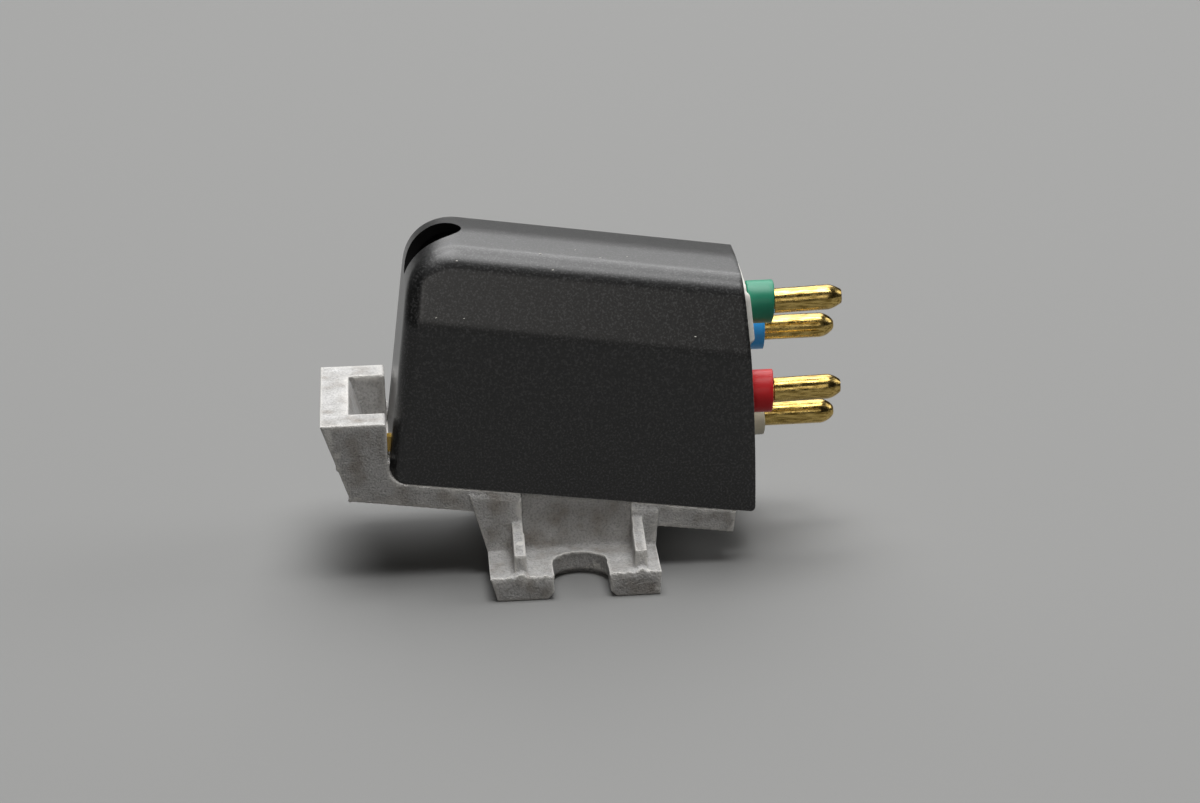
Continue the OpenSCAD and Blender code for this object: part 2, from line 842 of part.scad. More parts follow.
module set_screw() {
    depth = generator_width / 2 - grip_diameter / 2 - seat_gap;
    color([0.30, 0.30, 0.32])
        in_generator()
            translate([rear_yoke_x + rear_yoke_thick / 2, -grip_diameter / 2 - seat_gap, 0])
                rotate([90, 0, 0])
                    difference() {
                        cylinder(h = depth, r = screw_diameter / 2, $fn = 48);
                        translate([-screw_diameter, -screw_diameter / 10, depth - screw_diameter / 4])
                            cube([2 * screw_diameter, screw_diameter / 5, screw_diameter]);
                    }
}

module magnet() {
    color([0.28, 0.28, 0.30])
        in_generator()
            translate([-front_gap, -generator_width / 2, -yoke_drop])
                cube([magnet_length, generator_width, magnet_height]);
}

module damper() {
    color([0.10, 0.10, 0.10])
        in_generator()
            translate([damper_x, 0, 0])
                difference() {
                    bar(0, damper_thick, damper_diameter / 2);
                    bar(-over, damper_thick + over, tie_diameter / 2 + seat_gap);
                }
}

module coil_former() {
    color([0.55, 0.54, 0.52])
        in_generator()
            difference() {
                union() {
                    cube([former_thick, former_size, former_arm], center = true);
                    cube([former_thick, former_arm, former_size], center = true);
                }
                bar(-over, over, tie_diameter / 2 + seat_gap);
            }
}

// Fine wire wound round one arm of the former
module winding(angle) {
    inner = former_arm / 2 + seat_gap;
    outer = former_size / 2 - winding_stop;
    rotate([angle, 0, 0])
        translate([0, inner + winding_depth + seat_gap, 0])
            difference() {
                translate([
                    -former_thick / 2 - winding_depth,
                    0,
                    -former_arm / 2 - winding_depth])
                    cube([
                        former_thick + 2 * winding_depth,
                        outer - inner - winding_depth,
                        former_arm + 2 * winding_depth]);
                translate([-former_thick / 2 - seat_gap, -over, -former_arm / 2 - seat_gap])
                    cube([former_thick + 2 * seat_gap, former_size, former_arm + 2 * seat_gap]);
            }
}

module left_coil() {
    color([0.70, 0.33, 0.16])
        in_generator() {
            winding(0);
            winding(180);
        }
}

module right_coil() {
    color([0.76, 0.40, 0.20])
        in_generator() {
            winding(90);
            winding(270);
        }
}

module cantilever_stub() {
    x1 = -former_thick / 2 - seat_gap;
    color([0.60, 0.60, 0.62])
        in_generator()
            difference() {
                bar(x1 - stub_length, x1, cantilever_diameter / 2);
                bar(x1 - stub_length - over, x1 - stub_plug, cantilever_diameter / 4);
                translate([x1 - stub_length, 0, cantilever_diameter / 2])
                    rotate([0, 30, 0])
                        cube([cantilever_diameter, 2 * over, cantilever_diameter], center = true);
            }
}

// Plastic wedge on the plate that carries the magnet and both yokes
module generator_cradle() {
    a = generator_angle;
    low = [
        arm_u + front_pole_x * cos(a) - (yoke_drop + seat_gap) * sin(a),
        arm_v - front_pole_x * sin(a) - (yoke_drop + seat_gap) * cos(a)];
    high = [
        arm_u + rear_yoke_end * cos(a) - (yoke_drop + seat_gap) * sin(a),
        arm_v - rear_yoke_end * sin(a) - (yoke_drop + seat_gap) * cos(a)];
    color([0.16, 0.16, 0.17])
        in_cover()
            across(generator_width + 2 * cradle_side)
                polygon([
                    [low[0], seat_gap],
                    low,
                    high,
                    [high[0] + cradle_stop * sin(a) + slip_gap, high[1] + cradle_stop * cos(a)],
                    [high[0] + cradle_stop * sin(a) + cradle_lip, high[1] + cradle_stop * cos(a)],
                    [high[0] + cradle_foot, seat_gap]]);
}

// Cuts the corners of a path once, keeping its ends
function eased(path) =
    concat(
        [path[0]],
        [for (i = [0 : len(path) - 2]) for (t = [0.25, 0.75])
            path[i] * (1 - t) + path[i + 1] * t],
        [path[len(path) - 1]]);

// Rings square to a path, for a lofted wire
function wire_rings(path, r) =
    [for (i = [0 : len(path) - 1])
        let (
            t = path[min(i + 1, len(path) - 1)] - path[max(i - 1, 0)],
            side = cross(t, [0, 0, 1]) / norm(cross(t, [0, 0, 1])),
            up = cross(side, t) / norm(t)
        )
        [for (j = [0 : 9]) path[i] + r * (side * cos(36 * j) + up * sin(36 * j))]];

module lead(path) {
    loft(wire_rings(eased(eased(path)), lead_diameter / 2));
}

// Route of a lead from the windings round the yokes to the end of a pin
function lead_path(side, up, i) =
    let (
        out = side * (generator_width / 2 + lead_diameter + lead_clear),
        start = side * (former_size / 2 - winding_stop + seat_gap),
        y = pin_places[i][0],
        z = pin_places[i][1],
        end = post_start(i) - seat_gap
    )
    [
        from_generator([lead_x, start, up * former_arm / 2]),
        from_generator([lead_x, out, up]),
        from_generator([rear_yoke_end / 2, out, up]),
        from_generator([rear_yoke_end + lead_over, out, up]),
        [end - lead_straight, y, z],
        [end, y, z]];

module lead_green() {
    color([0.10, 0.38, 0.22])
        lead(lead_path(-1, lead_spread, green));
}

module lead_red() {
    color([0.60, 0.08, 0.08])
        lead(lead_path(-1, -lead_spread, red));
}

module lead_blue() {
    color([0.10, 0.25, 0.60])
        lead(lead_path(1, lead_spread, blue));
}

module lead_white() {
    color([0.85, 0.83, 0.78])
        lead(lead_path(1, -lead_spread, white));
}

// Small bead of cured adhesive in the wedge between the front block and the cover
module adhesive_bead() {
    lip = from_cover([-seat_gap, 0, heel_round + heel_lip]);
    low = lip[2] + (lip[0] - nose_back) * rise + glue_start;
    high = low + glue_height;
    y = -cover_width / 2 + front_round + glue_side;
    color([0.72, 0.50, 0.16])
        translate([0, y, 0])
            across(glue_width)
                polygon([
                    [nose_back + seat_gap, low],
                    [cover_x + (low - cover_z) * rise - seat_gap, low],
                    [cover_x + (high - cover_z) * rise - seat_gap, high],
                    [nose_back + seat_gap, high]]);
}

mounting_frame();
body_cover();
terminal_board();
pin_green();
pin_blue();
pin_red();
pin_white();
sleeve_green();
sleeve_blue();
sleeve_red();
sleeve_white();
generator_cradle();
magnet();
front_pole();
rear_yoke();
rear_pole();
coil_former();
left_coil();
right_coil();
damper();
tie_wire();
suspension_sleeve();
set_screw();
cantilever_stub();
lead_green();
lead_blue();
lead_red();
lead_white();
adhesive_bead();
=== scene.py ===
# %% [markdown]
# # A phono cartridge lying on its mounting face
#
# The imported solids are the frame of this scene: every size and place comes from them. A reader
# who is learning Blender meets three kinds of work here. Surfaces that catch the light, such as
# the thin black cover, are worked out again with numpy at a finer grain. The raw casting keeps
# its solid, with its edges broken and its skin roughened. Everything inside keeps its solid and
# only gets its finish.

import bmesh
import bpy
import numpy as np
from mathutils import Matrix


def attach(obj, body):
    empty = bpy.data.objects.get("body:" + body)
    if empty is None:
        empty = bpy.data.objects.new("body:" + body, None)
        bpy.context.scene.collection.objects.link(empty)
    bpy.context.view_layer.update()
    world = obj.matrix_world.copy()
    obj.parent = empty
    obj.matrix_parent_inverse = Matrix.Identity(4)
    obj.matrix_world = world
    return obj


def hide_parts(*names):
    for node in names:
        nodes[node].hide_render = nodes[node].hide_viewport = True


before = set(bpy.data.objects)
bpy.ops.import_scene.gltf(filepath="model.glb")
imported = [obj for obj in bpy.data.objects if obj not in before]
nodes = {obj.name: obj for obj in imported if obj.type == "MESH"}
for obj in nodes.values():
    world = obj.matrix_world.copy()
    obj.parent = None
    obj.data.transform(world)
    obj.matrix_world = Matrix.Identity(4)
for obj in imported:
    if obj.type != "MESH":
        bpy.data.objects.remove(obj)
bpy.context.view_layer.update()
MM = 0.001

# %% [markdown]
# ## Numbers that several pieces share
#
# The cover and the plate under it lean against the mounting face by a few degrees. It is easier
# to think in a frame that leans with them: u runs back along the plate, v stands square to it.
# The numbers repeat those of the solids, in millimetres and degrees.

# %% The leaning frame of the cover
TILT = np.radians(7.6)
SEAT = 3.69
NOSE_BACK = -8.88
COVER_X = NOSE_BACK - 0.025
COVER_Z = SEAT - COVER_X * np.tan(TILT)
SEAT_GAP = 0.01


def from_cover(points):
    """Points (u, y, v) of the leaning frame as points (x, y, z) of the part: u turned down by the
    tilt and v turned back by it, moved to the front lower corner of the cover."""
    u, y, v = points[..., 0], points[..., 1], points[..., 2]
    x = COVER_X + u * np.cos(TILT) + v * np.sin(TILT)
    z = COVER_Z - u * np.sin(TILT) + v * np.cos(TILT)
    return np.stack([x, y, z], axis=-1)


print("cover corner at", round(COVER_X, 3), round(COVER_Z, 3))

# %% [markdown]
# ## From a grid of points to a mesh
#
# Nearly every new surface is a grid: rows of points that carry a profile, one row after another.
# The faces only need the index of their four corners, so they are counted out with arrays. A grid
# can close round on itself, and a fan can close its first or last row.

# %% Grid helpers
def grid_faces(rows, cols, wrap):
    """Corner indices of the quads between neighbouring rows; wrap joins the last column to the
    first."""
    last = cols if wrap else cols - 1
    i, j = np.meshgrid(np.arange(rows - 1), np.arange(last), indexing="ij")
    k = (j + 1) % cols
    quads = np.stack([i * cols + j, i * cols + k, (i + 1) * cols + k, (i + 1) * cols + j], axis=-1)
    return quads.reshape(-1, 4)


def fan_faces(row_start, cols, tip, turn):
    """Triangles from each edge of a closed row to one tip point."""
    j = np.arange(cols)
    k = (j + 1) % cols
    ends = (row_start + j, row_start + k) if turn else (row_start + k, row_start + j)
    return np.stack([ends[0], ends[1], np.full(cols, tip)], axis=-1)


class Sheet:
    """Collects grids and fans, in millimetres, into one mesh."""

    def __init__(self):
        self.points, self.faces, self.marks, self.count = [], [], [], 0

    def add(self, grid, wrap=False, mark=0, close_first=False, close_last=False):
        """Adds a grid of shape (rows, cols, 3). A closed end gets a fan to its middle."""
        rows, cols = grid.shape[:2]
        base = self.count
        self.points.append(grid.reshape(-1, 3))
        self.count += rows * cols
        parts = [grid_faces(rows, cols, wrap) + base]
        for wanted, row, turn in ((close_first, 0, False), (close_last, rows - 1, True)):
            if wanted:
                self.points.append(grid[row].mean(axis=0)[None, :])
                parts.append(fan_faces(base + row * cols, cols, self.count, turn))
                self.count += 1
        for part in parts:
            self.faces.extend(part.tolist())
            self.marks.extend([mark] * len(part))
        return self

    def build(self, name, merge=False, outward=False, smooth_angle=35.0):
        """Makes the object. merge welds equal points, outward turns all normals out."""
        mesh = bpy.data.meshes.new(name)
        mesh.from_pydata((np.concatenate(self.points) * MM).tolist(), [], self.faces)
        mesh.polygons.foreach_set("material_index", np.array(self.marks, np.int32))
        if merge or outward:
            shell = bmesh.new()
            shell.from_mesh(mesh)
            if merge:
                bmesh.ops.remove_doubles(shell, verts=shell.verts, dist=1e-7)
            if outward:
                bmesh.ops.recalc_face_normals(shell, faces=shell.faces)
            shell.to_mesh(mesh)
            shell.free()
        mesh.validate()
        mesh.shade_smooth()
        mesh.set_sharp_from_angle(angle=np.radians(smooth_angle))
        piece = bpy.data.objects.new(name, mesh)
        bpy.context.scene.collection.objects.link(piece)
        return piece


def settle(piece, *stands_for, finish=None):
    """The piece rides with the part and stands for its solids, whose nodes it hides. The finish
    argument is not used.
    """
    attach(piece, "root")
    if stands_for:
        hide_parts(*stands_for)
    print(piece.name, len(piece.data.vertices), "points")
    return piece


# %% [markdown]
# ## Finishes
#
# Each finish is one shader with its plain values on the shader itself. A pattern, such as the
# grain of a paint, is noise in Object coordinates, so it stays where it is when the view turns.
# The grain feeds a Bump node whose distance is the true depth of the grain in metres.

# %% Finish helpers
def finish(name, colour, rough, metal=0.0, specular=0.5):
    """A plain shader with its values on its own sockets. Returns the material and its nodes."""
    material = bpy.data.materials.new(name)
    material.use_nodes = True
    shader = material.node_tree.nodes["Principled BSDF"]
    shader.inputs["Base Color"].default_value = (*colour, 1.0)
    shader.inputs["Roughness"].default_value = rough
    shader.inputs["Metallic"].default_value = metal
    shader.inputs["Specular IOR Level"].default_value = specular
    material.diffuse_color = (*colour, 1.0)
    return material


def noise_of(material, size, detail=2.0, rough=0.5, stretch=(1.0, 1.0, 1.0)):
    """Noise in Object coordinates whose lumps are about size millimetres wide."""
    tree = material.node_tree
    place = tree.nodes.new("ShaderNodeTexCoord")
    turn = tree.nodes.new("ShaderNodeMapping")
    turn.inputs["Scale"].default_value = stretch
    noise = tree.nodes.new("ShaderNodeTexNoise")
    noise.inputs["Scale"].default_value = 1.0 / (size * MM)
    noise.inputs["Detail"].default_value = detail
    noise.inputs["Roughness"].default_value = rough
    tree.links.new(place.outputs["Object"], turn.inputs["Vector"])
    tree.links.new(turn.outputs["Vector"], noise.inputs["Vector"])
    return noise.outputs["Fac"]


def ramp_of(material, value, stops):
    """Turns a value into colours along (place, colour) stops."""
    tree = material.node_tree
    ramp = tree.nodes.new("ShaderNodeValToRGB")
    row = ramp.color_ramp.elements
    while len(row) < len(stops):
        row.new(0.5)
    for element, (place, colour) in zip(row, stops):
        element.position = place
        element.color = (*colour, 1.0) if len(colour) == 3 else colour
    tree.links.new(value, ramp.inputs["Fac"])
    return ramp.outputs["Color"]


def grain(material, *layers):
    """Adds bumps one upon the other. Each layer is (value, depth in millimetres, strength)."""
    tree = material.node_tree
    shader = tree.nodes["Principled BSDF"]
    normal = None
    for value, depth, strength in layers:
        bump = tree.nodes.new("ShaderNodeBump")
        bump.inputs["Distance"].default_value = depth * MM
        bump.inputs["Strength"].default_value = strength
        tree.links.new(value, bump.inputs["Height"])
        if normal is not None:
            tree.links.new(normal, bump.inputs["Normal"])
        normal = bump.outputs["Normal"]
    tree.links.new(normal, shader.inputs["Normal"])


def link_to(material, value, socket):
    """Feeds a worked-out value into a socket of the shader."""
    material.node_tree.links.new(value, material.node_tree.nodes["Principled BSDF"].inputs[socket])


# %% [markdown]
# ## The black paint of the cover
#
# The cover has one matte black paint all over, with a fine grain of about a tenth of a millimetre
# and a soft gloss. It is a dark colour with paler flecks under a rough clear coat, so how bright
# a wall looks comes from what it mirrors: the leaning walls face the lamp on the camera's side,
# and the upright walls below the crease face the floor. At the cut edges bare metal shows through
# the thin paint in small spots. These spots are painted pale enough to also be a painted highlight
# along the rim. The wall of the rim and of the stylus opening is painted near black and dull, as
# painted shade for the dark inside of the opening.

# %% Mixing two colours
def blend(material, share, low, high, way="MIX"):
    """Mixes two colours or values by a share, which is a number or another node's output."""
    mix = material.node_tree.nodes.new("ShaderNodeMix")
    mix.data_type = "RGBA"
    mix.blend_type = way
    sockets = (mix.inputs["Factor"], mix.inputs["A"], mix.inputs["B"])
    for value, socket in zip((share, low, high), sockets):
        if isinstance(value, bpy.types.NodeSocket):
            material.node_tree.links.new(value, socket)
        elif isinstance(value, tuple):
            socket.default_value = (*value, 1.0)
        else:
            socket.default_value = value
    return mix.outputs["Result"]


# %% Paint, worn edge with painted highlight, and a wall painted as shade
paint = finish("black_paint", (0.010, 0.010, 0.0105), 0.45, specular=0.12)
coat = paint.node_tree.nodes["Principled BSDF"].inputs
coat["Coat Weight"].default_value = 1.0
coat["Coat Roughness"].default_value = 0.33
coat["Coat IOR"].default_value = 1.5
fine = noise_of(paint, 0.10, detail=2.0, rough=0.6)
coarse = noise_of(paint, 0.26, detail=2.0)
flecks = [(0.36, (0.004,) * 3), (0.52, (0.012,) * 3), (0.66, (0.070,) * 3)]
link_to(paint, ramp_of(paint, fine, flecks), "Base Color")
grain(paint, (coarse, 0.014, 0.5), (fine, 0.022, 1.0))

# worn bare metal in spots, painted pale enough to also be a painted highlight along the rim
edge = finish("worn_edge_and_highlight", (0.30, 0.29, 0.27), 0.4, metal=0.3)
spots = noise_of(edge, 0.10, detail=3.0, rough=0.7)
bare_and_highlight = [(0.42, (0.04, 0.04, 0.04)), (0.50, (0.85, 0.84, 0.80))]
link_to(edge, ramp_of(edge, spots, bare_and_highlight), "Base Color")

# painted shade: the rim and the cut wall of the opening are near black and dull, as the shade
# inside the opening
wall = finish("painted_shade_wall", (0.004, 0.004, 0.004), 0.7, specular=0.15)
print("paint finishes ready")

# %% [markdown]
# ## The shape of the cover
#
# Seen from the front the cover is a house with soft corners: upright walls, a soft crease, steep
# upper walls, round shoulders and a slightly crowned top. From the side the front upper corner
# rolls over in a large arc, and all edges round the front face roll in. A cross-section that is
# carried back along u, and that shrinks near the front by the depth of the rolled edges, gives
# both. It could also be built from a box with bevels, but the bevels of three different radii
# would not meet as cleanly.

# %% Values of the cover
HEIGHT, LENGTH = 11.55, 17.64
WIDTH, CREASE_WIDTH, TOP_WIDTH = 9.0, 8.9, 6.6
CREASE = 7.92
CROWN, CROWN_ROUND = np.radians(4.0), 9.0
FALL = np.tan(np.radians(0.86))
CREASE_ROUND, SHOULDER_ROUND = 2.0, 1.5
FRONT_ROUND, NOSE_ROUND, HEEL_ROUND = 0.9, 2.4, 0.75
END_LEAN = TILT + np.radians(1.85)
RIM_BOW = 0.17
RIM_FOOT = 0.25
WALL = 0.5
OPENING_WIDTH, OPENING_LENGTH = 2.9, 3.5

CROWN_TIP = CROWN_ROUND * (1 / np.cos(CROWN) - 1)
FACET = np.arctan2(
    CREASE_WIDTH / 2 - TOP_WIDTH / 2,
    HEIGHT + CROWN_TIP - TOP_WIDTH / 2 * np.tan(CROWN) - CREASE,
)
print("upper walls lean by", round(float(np.degrees(FACET)), 2), "degrees")


# %% Cross-section of the cover
def arc_between(a, b, c, radius, count):
    """Points of the round corner of that radius between the lines a-b and b-c, for many corners
    at once: the centre lies on the line that halves the corner, and the start is turned to the
    end in equal steps."""
    p = (a - b) / np.linalg.norm(a - b, axis=-1, keepdims=True)
    q = (c - b) / np.linalg.norm(c - b, axis=-1, keepdims=True)
    half = np.arccos(np.sum(p * q, axis=-1)) / 2
    middle = (p + q) / np.linalg.norm(p + q, axis=-1, keepdims=True)
    centre = b + middle * (radius / np.sin(half))[:, None]
    start = b + p * (radius / np.tan(half))[:, None] - centre
    end = b + q * (radius / np.tan(half))[:, None] - centre
    turn = np.arctan2(
        start[:, 0] * end[:, 1] - start[:, 1] * end[:, 0], np.sum(start * end, axis=-1)
    )
    t = turn[:, None] * np.linspace(0, 1, count)[None, :]
    x = start[:, :1] * np.cos(t) - start[:, 1:] * np.sin(t)
    y = start[:, :1] * np.sin(t) + start[:, 1:] * np.cos(t)
    return centre[:, None, :] + np.stack([x, y], axis=-1)


def half_sections(inset, foot, top, crease):
    """Half cross-sections (y, v), one for each value of the four arrays: foot, straight wall,
    round crease, straight upper wall, round shoulder, and half of the crown."""
    lean = np.arctan2(WIDTH / 2 - CREASE_WIDTH / 2, CREASE)
    crease_y = CREASE_WIDTH / 2 - inset
    crease_z = crease - inset * np.tan(FACET / 2)
    foot_y = WIDTH / 2 - inset - foot * np.tan(lean)
    tip = top + CROWN_TIP
    climb = tip - crease_z - crease_y * np.tan(CROWN)
    climb = climb / (1 - np.tan(FACET) * np.tan(CROWN))
    foot_p = np.stack([foot_y, foot], -1)
    crease_p = np.stack([crease_y, crease_z], -1)
    corner_p = np.stack([crease_y - climb * np.tan(FACET), crease_z + climb], -1)
    tip_p = np.stack([0 * tip, tip], -1)
    mirror_p = corner_p * np.array([-1.0, 1.0])
    soft = np.maximum(CREASE_ROUND - inset, 0.2)
    shoulder = np.maximum(SHOULDER_ROUND - inset, 0.4)
    bend = arc_between(foot_p, crease_p, corner_p, soft, 9)
    turn = arc_between(crease_p, corner_p, tip_p, shoulder, 25)
    crown = arc_between(corner_p, tip_p, mirror_p, 0 * tip + CROWN_ROUND, 17)[:, :9]

    def straight(a, b, count, power=1.0):
        t = np.linspace(0, 1, count + 2)[1:-1, None] ** power
        return a[:, None, :] * (1 - t) + b[:, None, :] * t

    return np.concatenate(
        [
            foot_p[:, None, :],
            straight(foot_p, bend[:, 0], 28, 1.8),
            bend,
            straight(bend[:, -1], turn[:, 0], 8),
            turn,
            straight(turn[:, -1], crown[:, 0], 6),
            crown,
        ],
        axis=1,
    )


def rolled(radius, d):
    """Depth that a rolled edge loses at distance d from its end, along a quarter circle."""
    inside = np.clip(radius * radius - (radius - d) ** 2, 0, None)
    return np.where(d >= radius, 0.0, radius - np.sqrt(inside))


# %% [markdown]
# The rows stand close together where the edges roll over, and wide apart behind. The last rows
# lean forward more and more, until they reach the rear rim, which leans forward, bows out a little
# halfway up and has a small round corner at its foot. The heel, the lower edge of the front face,
# is a strip between the two feet of the first rows.

# %% Outer skin of the cover
def rim_at(v):
    """Distance of the rear rim from the front of the cover: a leaning line and a parabola."""
    return LENGTH - v * np.tan(END_LEAN) + 4 * RIM_BOW * v * (HEIGHT - v) / HEIGHT**2


early = FRONT_ROUND * (1 - np.cos(np.linspace(0, np.pi / 2, 19)))
first = np.arccos(1 - FRONT_ROUND / NOSE_ROUND)
later = NOSE_ROUND * (1 - np.cos(np.linspace(first, np.pi / 2, 23)[1:]))
straight_run = np.linspace(NOSE_ROUND, LENGTH, 61)[1:]
d = np.concatenate([early, later, straight_run])

half = half_sections(
    rolled(FRONT_ROUND, d),
    rolled(HEEL_ROUND, d),
    HEIGHT - d * FALL - rolled(NOSE_ROUND, d),
    CREASE - d * FALL,
)
middle = half[:, -1:] * np.array([0.0, 1.0])
section = np.concatenate([half[:, :-1], middle, half[:, -2::-1] * np.array([-1.0, 1.0])], axis=1)
share = np.clip((d - NOSE_ROUND) / (LENGTH - NOSE_ROUND), 0, 1)[:, None] ** 2
back = LENGTH - rim_at(section[..., 1]) + rolled(RIM_FOOT, section[..., 1])
back = back * share
height = section[..., 1] + back * FALL * np.clip(section[..., 1] / CREASE, 0, 1)
skin = np.stack([d[:, None] - back, section[..., 0], height + SEAT_GAP], axis=-1)

face_centre = np.array([0.0, 0.0, CREASE * 0.6])
shrink = np.linspace(1.0, 0.08, 14)[:, None, None]
face = face_centre + (skin[0][None] - face_centre) * shrink
heel_rows = d <= WALL
heel = skin[heel_rows][:, [0, -1]]
print("outer skin", skin.shape)

# %% [markdown]
# Solidify gives the skin its wall, and a Boolean cuts the stylus opening, an obround hole square
# to the rolled corner. Both run once, and the result is kept as plain mesh. The bevel comes
# before the cut, because the rim is clean there, and it carries the worn edge with its painted
# highlight, while the wall of the rim and of the cut is painted near black as shade.

# %% Wall, rim and stylus opening
outer = Sheet()
outer.add(from_cover(skin))
outer.add(from_cover(face[::-1]), wrap=True, close_first=True)
outer.add(from_cover(heel))
cover = outer.build("cover_shell", merge=True, outward=True)
cover.data.materials.append(paint)
cover.data.materials.append(wall)
cover.data.materials.append(edge)

slant = np.sqrt(0.5)
along = np.array([slant, 0.0, slant])
out = np.array([-slant, 0.0, slant])
turn = np.linspace(0, 2 * np.pi, 96, endpoint=False)
reach = (OPENING_LENGTH - OPENING_WIDTH) / 2
a = OPENING_WIDTH / 2 * np.cos(turn) + reach * np.sign(np.cos(turn))
b = OPENING_WIDTH / 2 * np.sin(turn)
corner = np.array([NOSE_ROUND, 0.0, HEIGHT - NOSE_ROUND])
ring = corner + a[:, None] * along + b[:, None] * np.array([0.0, 1.0, 0.0])
depths = np.array([0.6, 3.5])[:, None, None]
tool = Sheet().add(from_cover(ring[None] + depths * out), True, 1, True, True)
tool = tool.build("opening_tool", outward=True)
for material in (paint, wall, edge):
    tool.data.materials.append(material)

thick = cover.modifiers.new("wall", "SOLIDIFY")
thick.thickness = WALL * MM
thick.offset = -1.0
thick.use_even_offset = True
# the rim faces take the near-black wall, which is painted shade
thick.material_offset_rim = 1
round_rim = cover.modifiers.new("rim", "BEVEL")
round_rim.width = 0.045 * MM
round_rim.segments = 2
round_rim.limit_method = "ANGLE"
round_rim.angle_limit = np.radians(50)
round_rim.material = 2
cut = cover.modifiers.new("opening", "BOOLEAN")
cut.object = tool
cut.operation = "DIFFERENCE"
cut.solver = "EXACT"


def freeze(piece, smooth_angle=35.0):
    """Keeps what the modifiers make as the piece's own mesh."""
    graph = bpy.context.evaluated_depsgraph_get()
    mesh = bpy.data.meshes.new_from_object(piece.evaluated_get(graph))
    piece.modifiers.clear()
    old = piece.data
    piece.data = mesh
    bpy.data.meshes.remove(old)
    mesh.shade_smooth()
    mesh.set_sharp_from_angle(angle=np.radians(smooth_angle))
    return piece


freeze(cover)
bpy.data.objects.remove(tool)
settle(cover, "body_cover", finish="black_paint")

# %% [markdown]
# ## The raw casting
#
# The frame is cast in light alloy and left raw: its skin is rough like fine sandpaper, its edges
# are a little round and ragged, and the outer edges of the flanges carry uneven lips where metal
# was pressed out. A bevel would be the usual tool, but it rounds every edge alike. Here a copy of
# the solid is welded and meshed again in cells of a twentieth of a millimetre, which makes the
# edges slightly ragged, and then its points are moved by functions of their own place. Its raised
# edges are painted pale, both as rubbed metal and as a painted highlight, which the shader finds
# from how convex the fine mesh is at a point.

# %% Cast alloy
alloy = finish("cast_alloy", (0.60, 0.59, 0.575), 0.5, specular=0.25)
sand = noise_of(alloy, 0.10, detail=2.0, rough=0.6)
pits = noise_of(alloy, 0.2, detail=3.0, rough=0.6)
cloud = noise_of(alloy, 1.1, detail=3.0)
shades = [(0.30, (0.48, 0.445, 0.41)), (0.50, (0.66, 0.65, 0.635)), (0.72, (0.78, 0.77, 0.76))]
grit = [(0.34, (0.66,) * 3), (0.50, (0.90,) * 3), (0.64, (1.0,) * 3)]
speckle = blend(alloy, 1.0, ramp_of(alloy, cloud, shades), ramp_of(alloy, sand, grit), "MULTIPLY")
form = alloy.node_tree.nodes.new("ShaderNodeNewGeometry")
# painted highlight: where the mesh is convex the colour turns pale, for rubbed metal and for the
# light the edges catch
rubbed_and_highlight = ramp_of(alloy, form.outputs["Pointiness"], [(0.505, (0.0,) * 3), (0.54, (1.0,) * 3)])
rubbed_highlight_colour = (0.88, 0.86, 0.82)
link_to(alloy, blend(alloy, rubbed_and_highlight, speckle, rubbed_highlight_colour), "Base Color")
link_to(alloy, ramp_of(alloy, pits, [(0.54, (0.0,) * 3), (0.68, (0.4,) * 3)]), "Metallic")
link_to(alloy, ramp_of(alloy, sand, [(0.35, (0.44,) * 3), (0.65, (0.62,) * 3)]), "Roughness")
grain(alloy, (pits, 0.05, 0.7), (sand, 0.05, 1.0))

# %% Casting in fine cells
def in_cells(node, name, material, cell):
    """A copy of a solid, welded and meshed again in cells of that size, with soft edges."""
    mesh = nodes[node].data.copy()
    body = bmesh.new()
    body.from_mesh(mesh)
    bmesh.ops.remove_doubles(body, verts=body.verts, dist=2e-7)
    body.to_mesh(mesh)
    body.free()
    mesh.materials.clear()
    mesh.materials.append(material)
    piece = bpy.data.objects.new(name, mesh)
    bpy.context.scene.collection.objects.link(piece)
    cells = piece.modifiers.new("cells", "REMESH")
    cells.mode = "VOXEL"
    cells.voxel_size = cell * MM
    cells.adaptivity = 0.01
    ease = piece.modifiers.new("ease", "SMOOTH")
    ease.factor = 0.5
    ease.iterations = 2
    return freeze(piece, smooth_angle=60)


def points_of(piece):
    """The points of a piece as one array, in millimetres."""
    flat = np.empty(len(piece.data.vertices) * 3, np.float32)
    piece.data.vertices.foreach_get("co", flat)
    return flat.reshape(-1, 3).astype(float) / MM


def move_points(piece, points):
    """Puts the points of a piece to their new places."""
    piece.data.vertices.foreach_set("co", (points * MM).astype(np.float32).ravel())
    piece.data.update()


casting = in_cells("mounting_frame", "casting", alloy, 0.05)
print("casting points", len(casting.data.vertices))

# %% Lips and waves of the casting
FLANGE_Y, FLANGE_TOP = 8.14, 1.15
LIP_DEPTH, SLOT_LIP = 0.35, 0.16
SLOT_Y, SLOT_R = 6.35, 1.325
NOSE_TOP = 7.84
CORNER_R = 0.2


def ripple(x, seed, waves=7, shortest=0.25):
    """Smooth uneven line: a sum of sines of falling size with seeded lengths and phases."""
    rng = np.random.default_rng(seed)
    lengths = shortest * 1.6 ** np.arange(waves)
    phases = rng.uniform(0, 2 * np.pi, waves)
    weights = lengths**0.7
    total = np.sin(2 * np.pi * x[:, None] / lengths + phases) * weights
    return total.sum(axis=1) / weights.sum()


